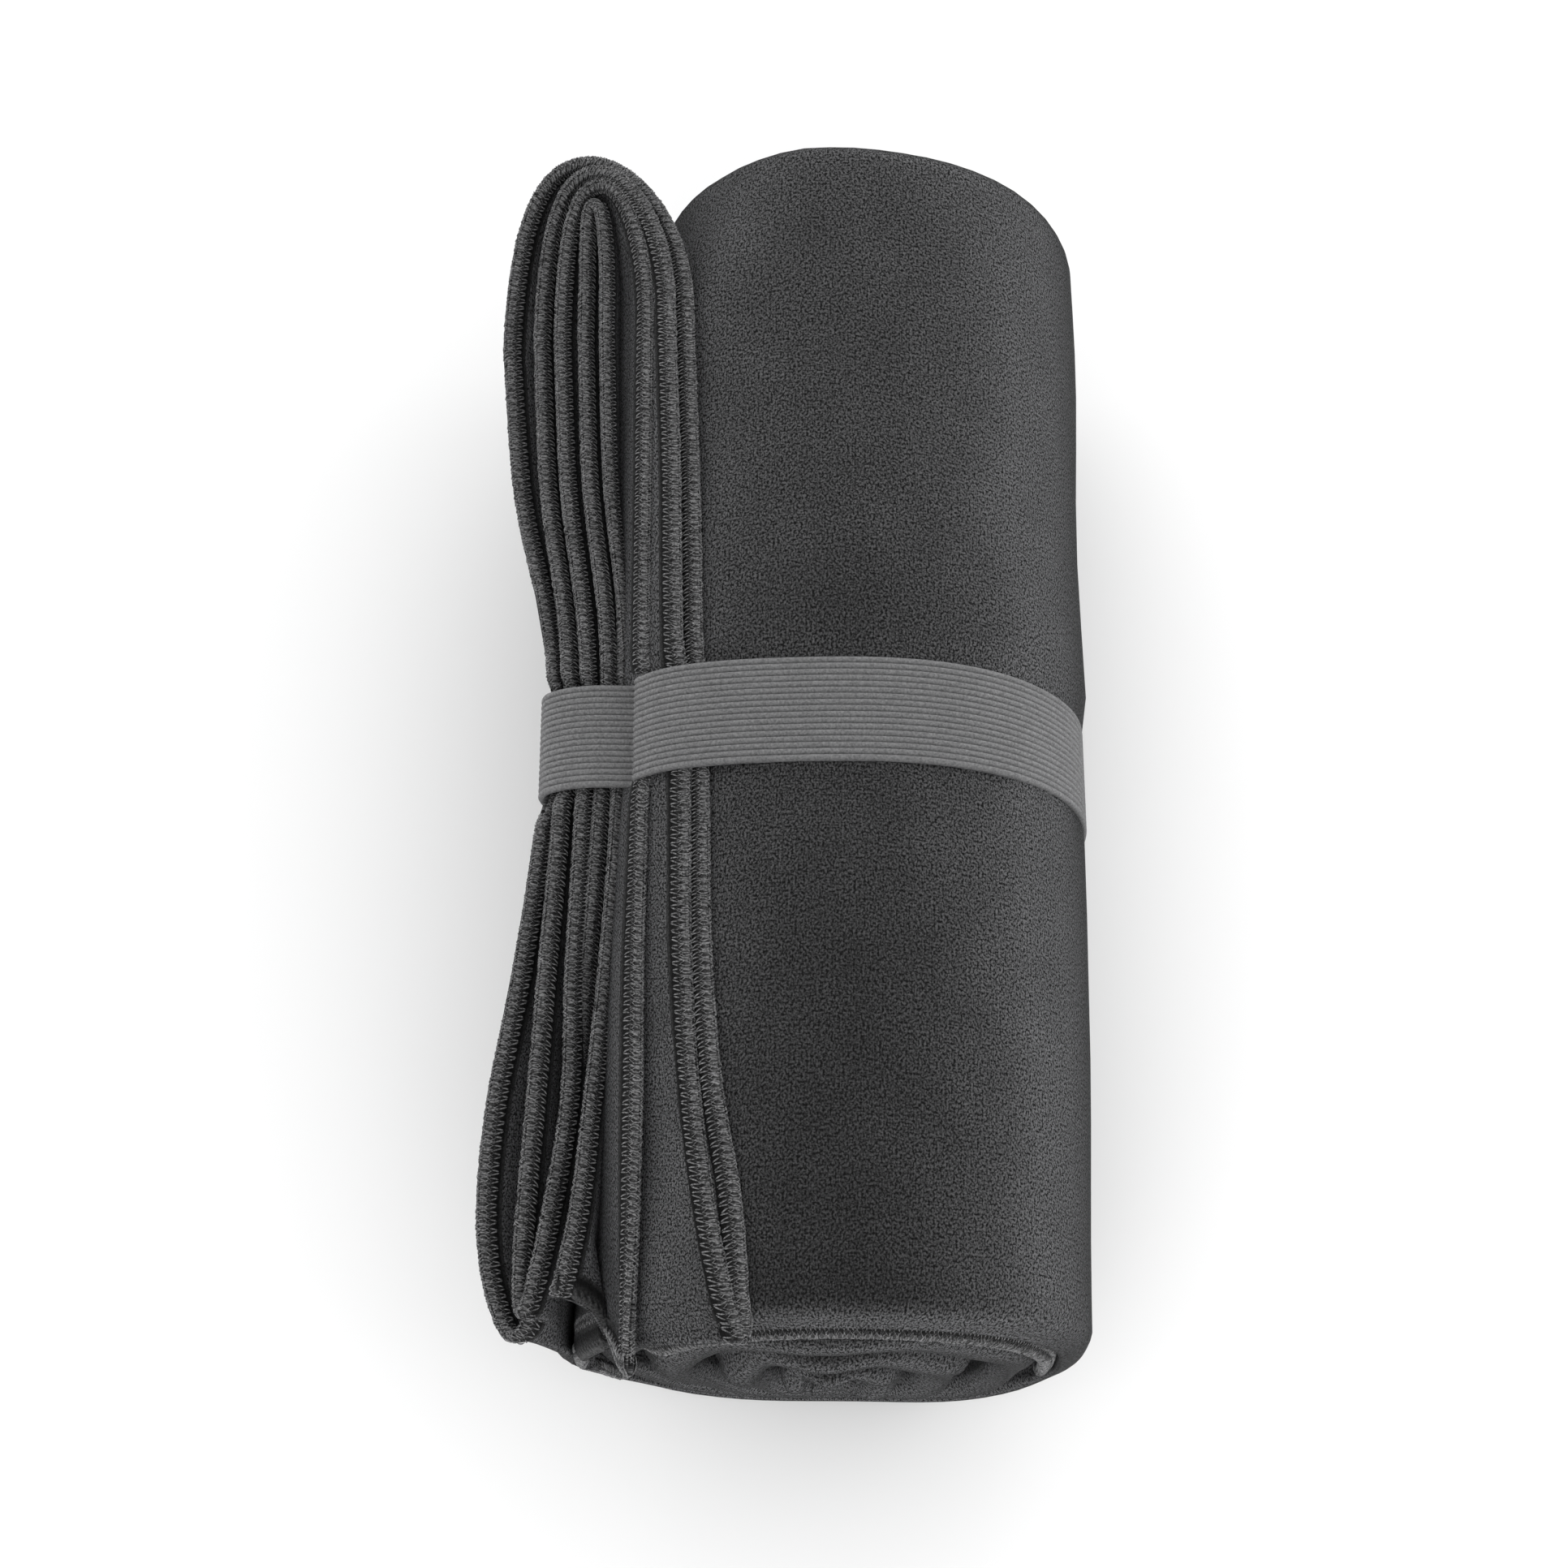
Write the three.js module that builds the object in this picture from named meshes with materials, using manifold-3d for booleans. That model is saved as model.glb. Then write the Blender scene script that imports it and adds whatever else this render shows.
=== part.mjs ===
// Rolled microfiber towel with its elastic band, in millimetres, Z up, Y along the roll.
import * as THREE from "three";
import { mergeVertices } from "three/addons/utils/BufferGeometryUtils.js";
import Module from "manifold-3d";

const wasm = await Module();
wasm.setup();

// Sizes of the roll
const AXIS_X = 9.4;
const AXIS_Z = 48;
const LAYERS = 8;
const LAYER_STEP = 0.96;
const TURNS = 4.2;
const NEAR_END = -110.5;
const FAR_END = 110.5;
const MIDDLE = -3.9;
const RIGHT_SHARE = 0.5;
const NEAR_SKEW = 4;
const SKEW_START = -85;
const SKEW_SPAN = 25;
const RAD = Math.PI / 180;

// Sizes of the hem and of the cloth where it stands loose
const HEM_HALF = 1.1;
const CLOTH_HALF = 0.45;

// Sizes of the elastic band
const BAND_WIDTH = 20;
const BAND_THICK = 1.2;
const CLEARANCE = 0.3;

// Outline of the rolled body seen from the near end: angle from the right, radius
const BODY_OUTLINE = [
  { angle: 0, radius: 48.5 },
  { angle: 22, radius: 49.4 },
  { angle: 45, radius: 49.5 },
  { angle: 62, radius: 48.4 },
  { angle: 76, radius: 47.3 },
  { angle: 90, radius: 47.0 },
  { angle: 103, radius: 47.4 },
  { angle: 114, radius: 48.2 },
  { angle: 126, radius: 47.6 },
  { angle: 140, radius: 46.0 },
  { angle: 156, radius: 44.9 },
  { angle: 169, radius: 44.6 },
  { angle: 182, radius: 51.3 },
  { angle: 200, radius: 50.8 },
  { angle: 225, radius: 50.2 },
  { angle: 248, radius: 49.8 },
  { angle: 270, radius: 49.4 },
  { angle: 292, radius: 49.0 },
  { angle: 315, radius: 49.0 },
  { angle: 338, radius: 48.7 },
  { angle: 360, radius: 48.5 },
];

// Growth of the roll along its length: how far its right side stands out from the middle size
const GROWTH = [
  { y: -113, out: -3.2 },
  { y: -80, out: -1.9 },
  { y: -40, out: -0.7 },
  { y: 0, out: 0.5 },
  { y: 40, out: 1.1 },
  { y: 80, out: 1.9 },
  { y: 113, out: 2.2 },
];

// Hem of each layer, outermost first: x along the roll, height along the roll, lean from upright
const HEM_PLACES = [80, 48, 12, -16, -49, -72, -93, -112].map((y) => -y);
const HEMS = [
  { x: [-55, -51.6, -43.9, -43.9, -48.5, -52.4, -53.4, -50], z: [75, 76, 71], lean: -42 },
  { x: [-48.2, -46, -40.6, -40.8, -43.5, -44.9, -46.4, -46.6], z: [78, 78, 74], lean: -36 },
  { x: [-43.7, -41.8, -37.2, -37.3, -39, -39.6, -42.4, -45.6], z: [80.5, 79, 76], lean: -28 },
  { x: [-39.1, -37.5, -33.4, -33.9, -36, -37.5, -40.2, -44.6], z: [82, 79.3, 72], lean: -22 },
  { x: [-35.2, -33.9, -30.2, -30.7, -32, -33.6, -36, -40.5], z: [84, 79, 80.5], lean: -14 },
  { x: [-27.9, -27.2, -26.2, -26.2, -26.5, -26.9, -28.5, -30.5], z: [87.6, 85.4, 86], lean: 44 },
  { x: [-23.2, -21.6, -20.3, -19.3, -18, -16.8, -14.3, -9.6], z: [90, 89.5, 91], lean: 57 },
  { x: [-19.6, -18.1, -16.9, -15.7, -14, -12.7, -9.9, -8.6], z: [89.6, 89.3, 91], lean: 60 },
];
const HEM_HEIGHT_PLACES = [80, -2, -93].map((y) => -y);
const ROOT_ANGLE = 180;
const ROOT_RADIUS = 51;

// Turns of the folded cloth: two layers each, where the turn starts and how far it reaches,
// at the hem and at the root
const FAR_TURNS = [
  { outer: 0, inner: 7, hem: { y: 80, reach: 36.5 }, root: { y: 107, reach: 4 } },
  { outer: 1, inner: 6, hem: { y: 80, reach: 33.8 }, root: { y: 107, reach: 3 } },
  { outer: 2, inner: 5, hem: { y: 80, reach: 30.6 }, root: { y: 107, reach: 2 } },
  { outer: 3, inner: 4, hem: { y: 80, reach: 26.6 }, root: { y: 107, reach: 1 } },
];
const NEAR_TURNS = [
  { outer: 0, inner: 3, hem: { y: -99, reach: 12.2 }, root: { y: -107, reach: 2.5 } },
  { outer: 1, inner: 2, hem: { y: -99, reach: 8.8 }, root: { y: -107, reach: 1.2 } },
  { outer: 6, inner: 7, hem: { y: -105, reach: 10.2 }, root: { y: -107, reach: 1.2 } },
];
const FREE_ENDS = [
  { layer: 4, hem: -104.5, root: -108 },
  { layer: 5, hem: -117, root: -109 },
];
const FOLD_ORDER = [4, 3, 0, 7, 6, 1, 2, 5];
const LEG_STEPS = 6;
const BEND_STEPS = 8;
const BEND_FULLNESS = 2.4;
const ARCH_START = 80;
const ARCH_SPAN = 36;
const ARCH_LEAN = -2.6;
const ARCH_RISE = 5;
const STIFF_SHARE = 0.36;

// Ridges of the rounded folds at the two ends of the roll: place across one turn, height
const FAR_RIDGE = [
  { across: 0.2, height: -1.5 },
  { across: 0.4, height: 1.6 },
  { across: 2, height: 3.9 },
  { across: 4, height: 4.8 },
  { across: 6, height: 3.9 },
  { across: 7.6, height: 1.6 },
  { across: 7.8, height: -1.5 },
];
const NEAR_RIDGE = [
  { across: 0.2, height: -1.5 },
  { across: 0.3, height: 1.8 },
  { across: 1.6, height: 3.8 },
  { across: 3.4, height: 2.6 },
  { across: 4.2, height: 0.8 },
  { across: 5.6, height: 0.9 },
  { across: 6.8, height: 2.2 },
  { across: 7.7, height: 0.9 },
  { across: 7.8, height: -1.5 },
];
const RIDGE_STEP = 15;
const RIDGE_START = 186;

// Radius of the wound cloth's outer face after each turn: tight outside, looser inside
const WOUND = [
  { turn: 0, radius: 51.0 },
  { turn: 1, radius: 43.2 },
  { turn: 2, radius: 32.4 },
  { turn: 3, radius: 21.4 },
  { turn: 4, radius: 10.2 },
  { turn: 5.2, radius: 2.2 },
];
const CORE_RADIUS = 0.8;
const RIM_INSET = 0.9;
const FLAT_STEP = 0.1;

// Outer face of the elastic band round the body: angle from the right, radius
const BAND_OUTLINE = [
  { angle: 0, radius: 48.6 },
  { angle: 12, radius: 49.1 },
  { angle: 24, radius: 49.8 },
  { angle: 36, radius: 49.8 },
  { angle: 48, radius: 49.5 },
  { angle: 58, radius: 48.8 },
  { angle: 68, radius: 47.9 },
  { angle: 78, radius: 47.0 },
  { angle: 90, radius: 46.4 },
  { angle: 102, radius: 46.9 },
  { angle: 110, radius: 48.1 },
  { angle: 118, radius: 49.7 },
  { angle: 126, radius: 51.4 },
  { angle: 132, radius: 51.9 },
  { angle: 136.4, radius: 51.0 },
  { angle: 138.4, radius: 50.4 },
  { angle: 143.4, radius: 55.6 },
  { angle: 148.6, radius: 59.8 },
  { angle: 151.6, radius: 61.0 },
  { angle: 154.4, radius: 60.6 },
  { angle: 160, radius: 57.2 },
  { angle: 168, radius: 53.4 },
  { angle: 178, radius: 51.2 },
  { angle: 190, radius: 50.4 },
  { angle: 208, radius: 49.8 },
  { angle: 226, radius: 49.3 },
  { angle: 240, radius: 49.1 },
  { angle: 252, radius: 49.0 },
  { angle: 262, radius: 48.9 },
  { angle: 278, radius: 48.8 },
  { angle: 288, radius: 48.7 },
  { angle: 302, radius: 48.6 },
  { angle: 318, radius: 48.9 },
  { angle: 338, radius: 48.8 },
  { angle: 360, radius: 48.6 },
];

// Value of a table at a place, along a smooth curve through its rows
function smoothValue(places, values, at) {
  const last = places.length - 1;
  let row = 0;
  while (row < last - 1 && at > places[row + 1]) row += 1;
  const width = places[row + 1] - places[row];
  const t = Math.min(1, Math.max(0, (at - places[row]) / width));
  const rise = values[row + 1] - values[row];
  const slopeAt = (i) => {
    const before = Math.max(0, i - 1);
    const after = Math.min(last, i + 1);
    return ((values[after] - values[before]) / (places[after] - places[before])) * width;
  };
  const a = slopeAt(row);
  const b = slopeAt(row + 1);
  return values[row] + t * (a + t * (3 * rise - 2 * a - b + t * (a + b - 2 * rise)));
}

const column = (table, name) => table.map((entry) => entry[name]);
const BODY_ANGLES = column(BODY_OUTLINE, "angle");
const BODY_RADII = column(BODY_OUTLINE, "radius");
const GROWTH_Y = column(GROWTH, "y");
const GROWTH_OUT = column(GROWTH, "out");
const WOUND_TURNS = column(WOUND, "turn");
const WOUND_RADII = column(WOUND, "radius");

// Point of the section at an angle and a radius, at a place along the roll, never under the floor
function sectionPoint(angle, radius, y) {
  const out = RIGHT_SHARE * smoothValue(GROWTH_Y, GROWTH_OUT, y);
  const z = Math.max(0, AXIS_Z + radius * Math.sin(angle * RAD));
  const low = Math.max(0, 1 - z / AXIS_Z);
  const skew = NEAR_SKEW * low * THREE.MathUtils.smoothstep((SKEW_START - y) / SKEW_SPAN, 0, 1);
  const wide = 1 + out / AXIS_Z;
  return new THREE.Vector2(AXIS_X + out + skew + wide * radius * Math.cos(angle * RAD), z);
}

const MERGE_DISTANCE = 1e-4;

// Solid from rings of equally many points, closed by a fan at each end
function solidFromRings(rings) {
  const count = rings[0].length;
  const places = [];
  const faces = [];
  for (const p of rings.flat()) places.push(p.x, p.y, p.z);
  for (let r = 0; r + 1 < rings.length; r += 1) {
    for (let i = 0; i < count; i += 1) {
      const a = r * count + i;
      const b = r * count + ((i + 1) % count);
      faces.push(a, b, a + count, b, b + count, a + count);
    }
  }
  const lastRing = (rings.length - 1) * count;
  for (const [base, ring, flip] of [
    [0, rings[0], true],
    [lastRing, rings[rings.length - 1], false],
  ]) {
    const centre = ring.reduce((sum, p) => sum.add(p), new THREE.Vector3());
    centre.divideScalar(count);
    places.push(centre.x, centre.y, centre.z);
    const hub = places.length / 3 - 1;
    for (let i = 0; i < count; i += 1) {
      const a = base + i;
      const b = base + ((i + 1) % count);
      if (flip) faces.push(b, a, hub);
      else faces.push(a, b, hub);
    }
  }
  const geometry = new THREE.BufferGeometry();
  geometry.setAttribute("position", new THREE.Float32BufferAttribute(places, 3));
  geometry.setIndex(faces);
  const merged = mergeVertices(geometry, MERGE_DISTANCE);
  const make = (index) =>
    new wasm.Manifold(
      new wasm.Mesh({
        numProp: 3,
        vertProperties: new Float32Array(merged.attributes.position.array),
        triVerts: new Uint32Array(index),
      }),
    );
  const solid = make(merged.index.array);
  if (solid.volume() > 0) return solid;
  return make(Array.from(merged.index.array).reverse());
}

// Rolled body
const BODY_Y = [NEAR_END, -98, -85, -60, -30, MIDDLE, 25, 55, 85, FAR_END];
const BODY_STEP = 6;
function bodySolid() {
  const rings = BODY_Y.map((y) => {
    const ring = [];
    for (let angle = 0; angle < 360; angle += BODY_STEP) {
      const p = sectionPoint(angle, smoothValue(BODY_ANGLES, BODY_RADII, angle), y);
      ring.push(new THREE.Vector3(p.x, y, p.y));
    }
    return ring;
  });
  return solidFromRings(rings);
}

// Spiral ridge of rounded folds at one end of the roll
function ridgeSolid(profile, end, outward) {
  const rings = [];
  const lastAngle = RIDGE_START + 360 * TURNS;
  for (let angle = RIDGE_START; angle <= lastAngle; angle += RIDGE_STEP) {
    const turn = (angle - RIDGE_START) / 360;
    const rim = smoothValue(WOUND_TURNS, WOUND_RADII, turn) - RIM_INSET;
    const step = (rim + RIM_INSET - smoothValue(WOUND_TURNS, WOUND_RADII, turn + 1)) / LAYERS;
    const ring = profile.map((entry) => {
      const radius = Math.max(CORE_RADIUS, rim - entry.across * step);
      const level = end + outward * entry.height;
      const p = sectionPoint(angle, radius, level);
      const low = RIM_INSET + FLAT_STEP * entry.across;
      return new THREE.Vector3(p.x, level, Math.max(low, p.y));
    });
    rings.push(ring);
  }
  return solidFromRings(rings);
}

// Place of the cloth in the loose end: layer counted from the outermost, 0 at the hem to 1 at
// the root, place along the roll
function loosePoint(layer, down, y) {
  const index = THREE.MathUtils.clamp(layer, 0, LAYERS - 1);
  const low = Math.min(LAYERS - 2, Math.floor(index));
  const part = index - low;
  const hemOf = (row) => {
    const x = smoothValue(HEM_PLACES, HEMS[row].x, -y);
    const z = smoothValue(HEM_HEIGHT_PLACES, HEMS[row].z, -y);
    return { x, z, lean: HEMS[row].lean };
  };
  const a = hemOf(low);
  const b = hemOf(low + 1);
  const past = Math.max(0, (y - ARCH_START) / ARCH_SPAN);
  const hemX = THREE.MathUtils.lerp(a.x, b.x, part) + ARCH_LEAN * past * past;
  const hemZ = THREE.MathUtils.lerp(a.z, b.z, part) + ARCH_RISE * past * past;
  const lean = THREE.MathUtils.lerp(a.lean, b.lean, part) * RAD;
  const root = sectionPoint(ROOT_ANGLE, ROOT_RADIUS - (index + 0.5) * LAYER_STEP, y);
  const reach = STIFF_SHARE * Math.hypot(hemX - root.x, hemZ - root.y);
  const curve = new THREE.CubicBezierCurve(
    new THREE.Vector2(hemX, hemZ),
    new THREE.Vector2(hemX - reach * Math.sin(lean), hemZ - reach * Math.cos(lean)),
    new THREE.Vector2(root.x, root.y + reach),
    root,
  );
  const p = curve.getPoint(down);
  return new THREE.Vector3(p.x, y, p.y);
}

// Where a layer starts to turn at one end of the roll, some way down from its hem
function turnStart(layer, turns, down) {
  const turn = turns.find((entry) => entry.outer === layer || entry.inner === layer);
  if (turn) return THREE.MathUtils.lerp(turn.hem.y, turn.root.y, down);
  const end = FREE_ENDS.find((entry) => entry.layer === layer);
  return THREE.MathUtils.lerp(end.hem, end.root, down);
}

// Share of a turn's width or reach, fuller than a circle
const full = (share) => Math.sign(share) * Math.abs(share) ** (2 / BEND_FULLNESS);

// Path of the cloth from one free end, along each layer and round each turn, to the other
function clothPath() {
  const path = [];
  FOLD_ORDER.forEach((layer, leg) => {
    const toFar = leg % 2 === 0;
    for (let i = 0; i <= LEG_STEPS; i += 1) {
      const part = toFar ? i / LEG_STEPS : 1 - i / LEG_STEPS;
      path.push((down) => {
        const near = turnStart(layer, NEAR_TURNS, down);
        const far = turnStart(layer, FAR_TURNS, down);
        return loosePoint(layer, down, THREE.MathUtils.lerp(near, far, part));
      });
    }
    if (leg === FOLD_ORDER.length - 1) return;
    const side = toFar ? 1 : -1;
    const turns = toFar ? FAR_TURNS : NEAR_TURNS;
    const next = FOLD_ORDER[leg + 1];
    const turn = turns.find((entry) => entry.outer === layer || entry.inner === layer);
    for (let i = 1; i < BEND_STEPS; i += 1) {
      const angle = (i / BEND_STEPS) * Math.PI;
      path.push((down) => {
        const reach = THREE.MathUtils.lerp(turn.hem.reach, turn.root.reach, down);
        const between = (layer + next) / 2 + ((layer - next) / 2) * full(Math.cos(angle));
        const y = turnStart(layer, turns, down) + side * reach * full(Math.sin(angle));
        return loosePoint(between, down, y);
      });
    }
  });
  return path;
}

// Strip of cloth with its thick hem along a path
const SLOPE_STEP = 0.02;
const STRIP_ROWS = [
  { down: 0, half: 0.7 },
  { down: 0.03, half: HEM_HALF },
  { down: 0.08, half: HEM_HALF },
  { down: 0.12, half: CLOTH_HALF },
  { down: 0.5, half: CLOTH_HALF },
  { down: 1, half: 0.4 },
];
function stripSolid(path) {
  const rings = path.map((at, i) => {
    const before = path[Math.max(0, i - 1)];
    const after = path[Math.min(path.length - 1, i + 1)];
    const sides = [[], []];
    for (const row of STRIP_ROWS) {
      const here = at(row.down);
      const along = after(row.down).sub(before(row.down)).normalize();
      const lower = at(Math.min(1, row.down + SLOPE_STEP));
      const upper = at(Math.max(0, row.down - SLOPE_STEP));
      const normal = along.cross(lower.sub(upper).normalize()).normalize();
      sides[0].push(here.clone().addScaledVector(normal, row.half));
      sides[1].unshift(here.clone().addScaledVector(normal, -row.half));
    }
    return sides.flat();
  });
  return solidFromRings(rings);
}

// Prism of a closed outline in x and z between two places along the roll
function prism(outline, from, to) {
  const at = (y) => outline.map((p) => new THREE.Vector3(p.x, y, p.y));
  return solidFromRings([at(from), at(to)]);
}

const LEAST_MITRE = 0.6;

// Outline of the band, moved inward by an offset
function bandOutline(inset) {
  const points = [];
  for (const row of BAND_OUTLINE.slice(0, -1)) {
    const x = AXIS_X + row.radius * Math.cos(row.angle * RAD);
    const z = AXIS_Z + row.radius * Math.sin(row.angle * RAD);
    points.push(new THREE.Vector2(x, Math.max(0, z)));
  }
  return points.map((p, i) => {
    const before = points[(i + points.length - 1) % points.length];
    const after = points[(i + 1) % points.length];
    const a = p.clone().sub(before).normalize();
    const b = after.clone().sub(p).normalize();
    const inward = new THREE.Vector2(-a.y - b.y, a.x + b.x).normalize();
    const turn = Math.max(LEAST_MITRE, inward.dot(new THREE.Vector2(-a.y, a.x)));
    return p.clone().addScaledVector(inward, inset / turn);
  });
}

const PAST = 1;
const bandNear = MIDDLE - BAND_WIDTH / 2;
const bandFar = MIDDLE + BAND_WIDTH / 2;
const bandInner = prism(bandOutline(BAND_THICK), bandNear - PAST, bandFar + PAST);
const bandSolid = prism(bandOutline(0), bandNear, bandFar).subtract(bandInner);

const strip = stripSolid(clothPath());
const ridges = [
  ridgeSolid(FAR_RIDGE, FAR_END, 1),
  ridgeSolid(NEAR_RIDGE, NEAR_END, -1),
];
const ZONE_SIZE = 200;
const ZONE_WIDTH = BAND_WIDTH + 2.2 * CLEARANCE;
const SMALLEST_DETAIL = 0.05;
const zone = wasm.Manifold.cube([ZONE_SIZE, ZONE_WIDTH, ZONE_SIZE], true)
  .translate([0, MIDDLE, AXIS_Z])
  .subtract(prism(bandOutline(BAND_THICK + CLEARANCE), bandNear - PAST, bandFar + PAST));
const whole = [bodySolid(), ...ridges, strip].reduce((sum, solid) => sum.add(solid));
const towelSolid = whole.subtract(zone).simplify(SMALLEST_DETAIL);

// Mesh of a solid
function meshOf(solid, name, material) {
  const data = solid.getMesh();
  const geometry = new THREE.BufferGeometry();
  geometry.setAttribute("position", new THREE.Float32BufferAttribute(data.vertProperties, 3));
  geometry.setIndex(Array.from(data.triVerts));
  geometry.computeVertexNormals();
  const mesh = new THREE.Mesh(geometry, material);
  mesh.name = name;
  return mesh;
}

const charcoal = new THREE.MeshStandardMaterial({ color: "#2b2b2d", roughness: 0.95 });
charcoal.name = "charcoal_microfiber";
const grey = new THREE.MeshStandardMaterial({ color: "#6c6c6e", roughness: 0.85 });
grey.name = "grey_elastic";

const root = new THREE.Group();
const largest = towelSolid.decompose().sort((a, b) => b.volume() - a.volume())[0];
root.add(meshOf(largest, "towel", charcoal));
root.add(meshOf(bandSolid, "band", grey));

// The middle of the underside goes to the origin
const box = new THREE.Box3().setFromObject(root);
const centre = box.getCenter(new THREE.Vector3());
for (const mesh of root.children) mesh.position.set(-centre.x, -centre.y, -box.min.z);
export default root;
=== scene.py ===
"""Rolled microfiber towel with a ribbed elastic band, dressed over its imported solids."""
import math

import bmesh
import bpy
import numpy as np
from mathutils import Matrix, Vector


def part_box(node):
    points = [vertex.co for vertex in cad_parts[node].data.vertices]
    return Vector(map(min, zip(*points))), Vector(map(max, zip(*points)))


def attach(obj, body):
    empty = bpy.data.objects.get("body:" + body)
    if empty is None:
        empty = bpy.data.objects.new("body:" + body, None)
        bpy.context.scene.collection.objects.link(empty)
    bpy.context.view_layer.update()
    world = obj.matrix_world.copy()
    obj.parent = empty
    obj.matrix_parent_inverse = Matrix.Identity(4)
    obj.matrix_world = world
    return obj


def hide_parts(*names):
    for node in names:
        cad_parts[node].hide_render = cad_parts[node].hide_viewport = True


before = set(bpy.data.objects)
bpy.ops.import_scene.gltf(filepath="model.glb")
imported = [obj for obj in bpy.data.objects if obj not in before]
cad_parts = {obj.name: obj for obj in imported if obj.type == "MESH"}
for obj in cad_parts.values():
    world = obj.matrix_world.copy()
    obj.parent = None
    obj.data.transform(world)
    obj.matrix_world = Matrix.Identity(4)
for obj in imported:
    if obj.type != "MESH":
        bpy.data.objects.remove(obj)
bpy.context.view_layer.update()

# Lengths are in millimetres until a mesh is made
MM = 0.001
BAND_RIGHT = 58.0
BAND_FAR = 6.1
band_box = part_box("band")
SHIFT_X = band_box[1][0] / MM - BAND_RIGHT
SHIFT_Y = band_box[1][1] / MM - BAND_FAR

# The roll
AXIS_X = 9.4
AXIS_Z = 48.0
LAYERS = 8
BAND_MIDDLE = -3.9
BAND_WIDTH = 20.0
BAND_THICK = 1.2
CLOTH_THICK = 0.8
HEM_THICK = 2.0

# Outer face of the roll seen from the near end: angle from the right and radius
FACE_ANGLE = [118, 126, 140, 156, 169, 182, 200, 225, 248, 270, 292, 315, 338, 360]
FACE_ANGLE += [382, 405, 422, 436, 450, 463, 474, 486, 500, 516, 529, 542]
FACE_RADIUS = [48, 48, 49, 50, 50.8, 51.3, 50.8, 50.2, 49.8, 49.4, 49.0, 49.0, 48.7, 48.5]
FACE_RADIUS += [49.4, 49.5, 48.4, 47.3, 47.0, 47.2, 47.4, 46.7, 45.6, 44.5, 43.9, 43.2]
LOOSE_ANGLE = 182.0

# Radius of the wound cloth after each turn: tight outside, looser inside
WOUND_TURN = [0, 1, 1.5, 2, 2.5, 3, 3.5, 4, 5.2]
WOUND_RADIUS = [51.3, 43.5, 40.2, 34.6, 28.4, 22.2, 16.2, 10.6, 2.2]
WOUND_END = 4.15

# How far the right side of the roll stands out along its length
GROWTH_Y = [-113, -80, -40, 0, 40, 80, 113]
GROWTH_OUT = [-3.2, -1.9, -0.7, 0.5, 1.1, 1.9, 2.2]
NEAR_SKEW = 5.0

# Hems of the eight layers, outermost first: x along the roll, height along the roll, lean
HEM_Y = [-112, -93, -72, -49, -16, 12, 48, 80]
HEM_X = [
    [-50.0, -53.4, -52.7, -49.0, -45.0, -44.2, -51.6, -55.0],
    [-46.6, -46.4, -45.2, -43.9, -41.9, -41.3, -46.4, -48.7],
    [-45.6, -42.0, -39.0, -38.8, -37.8, -37.7, -42.4, -44.5],
    [-44.6, -40.2, -37.5, -36.4, -34.5, -33.7, -38.0, -39.7],
    [-41.0, -36.8, -34.6, -32.7, -31.0, -29.9, -33.9, -35.4],
    [-25.4, -24.6, -24.4, -24.7, -24.6, -24.9, -25.1, -25.3],
    [-6.2, -10.6, -14.1, -16.0, -16.9, -18.5, -19.5, -20.9],
    [-4.5, -6.1, -9.8, -12.0, -13.4, -14.7, -16.0, -17.4],
]
HEM_Z_Y = [-110, -93, -2, 80]
HEM_Z = [
    [71.0, 71.0, 76.0, 75.0],
    [74.0, 74.0, 78.0, 78.0],
    [76.0, 76.0, 79.0, 80.5],
    [72.0, 72.0, 79.3, 82.0],
    [80.5, 80.5, 79.0, 84.0],
    [84.6, 86.0, 85.4, 87.6],
    [91.0, 91.0, 89.5, 90.0],
    [91.0, 91.0, 89.3, 89.6],
]
HEM_LEAN = [
    [-52, -52, -48, -50],
    [-50, -50, -47, -48],
    [-48, -48, -45, -46],
    [-44, -44, -41, -42],
    [-60, -54, -32, -36],
    [28, 54, 52, 57],
    [60, 60, 61, 59],
    [61, 61, 62, 61],
]
HEM_REACH = [0.36, 0.36, 0.36, 0.36, 0.36, 0.2, 0.36, 0.36]
CORNER_LAYER = 4
CORNER_SWELL = 0.9
CORNER_FROM = -98
CORNER_LENGTH = 8

# Turns of the folded cloth: the two layers, where the turn starts and how far it reaches,
# at the hem and in the roll
FAR_TURNS = [
    {"layers": (0, 7), "hem": (80, 36.0), "roll": (110.2, 5.2), "fullness": 2.1},
    {"layers": (1, 6), "hem": (80, 33.4), "roll": (110.2, 4.0), "fullness": 2.15},
    {"layers": (2, 5), "hem": (80, 30.8), "roll": (110.2, 2.8), "fullness": 2.3},
    {"layers": (3, 4), "hem": (80, 27.4), "roll": (110.2, 1.4), "fullness": 3.0},
]
NEAR_TURNS = [
    {"layers": (0, 3), "hem": (-99, 12.2), "roll": (-108.0, 4.4), "fullness": 2.4},
    {"layers": (1, 2), "hem": (-99, 8.8), "roll": (-108.0, 2.4), "fullness": 2.4},
    {"layers": (6, 7), "hem": (-105, 10.2), "roll": (-108.6, 2.4), "fullness": 2.4},
]
FREE_ENDS = {4: (-106.0, -113.6), 5: (-119.8, -109.5)}
FREE_SPEED = {4: 3.6, 5: 2.6}
INNER_TURN = 505.0
WAVE_END = 1500.0
INNER_START = [-108.2, -108.2, -108.2, -108.2, -100.5, -101.0, -100.0, -100.0]
INNER_REACH = [5.2, 2.2, 2.2, 5.2, 0, 0, 1.6, 1.6]
INNER_FOLDS = (0, 1, 2, 3)
RIDGE_OUT = 1.1
RIDGE_TURNS = 3.0
NEAR_BACK = [(226, 26, 1.1), (320, 22, 0.6)]
NEAR_SPREAD = [0.12, 0.36, 0.58, 0.8, 0.6, 0.7, 0.8, 0.94]
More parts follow.
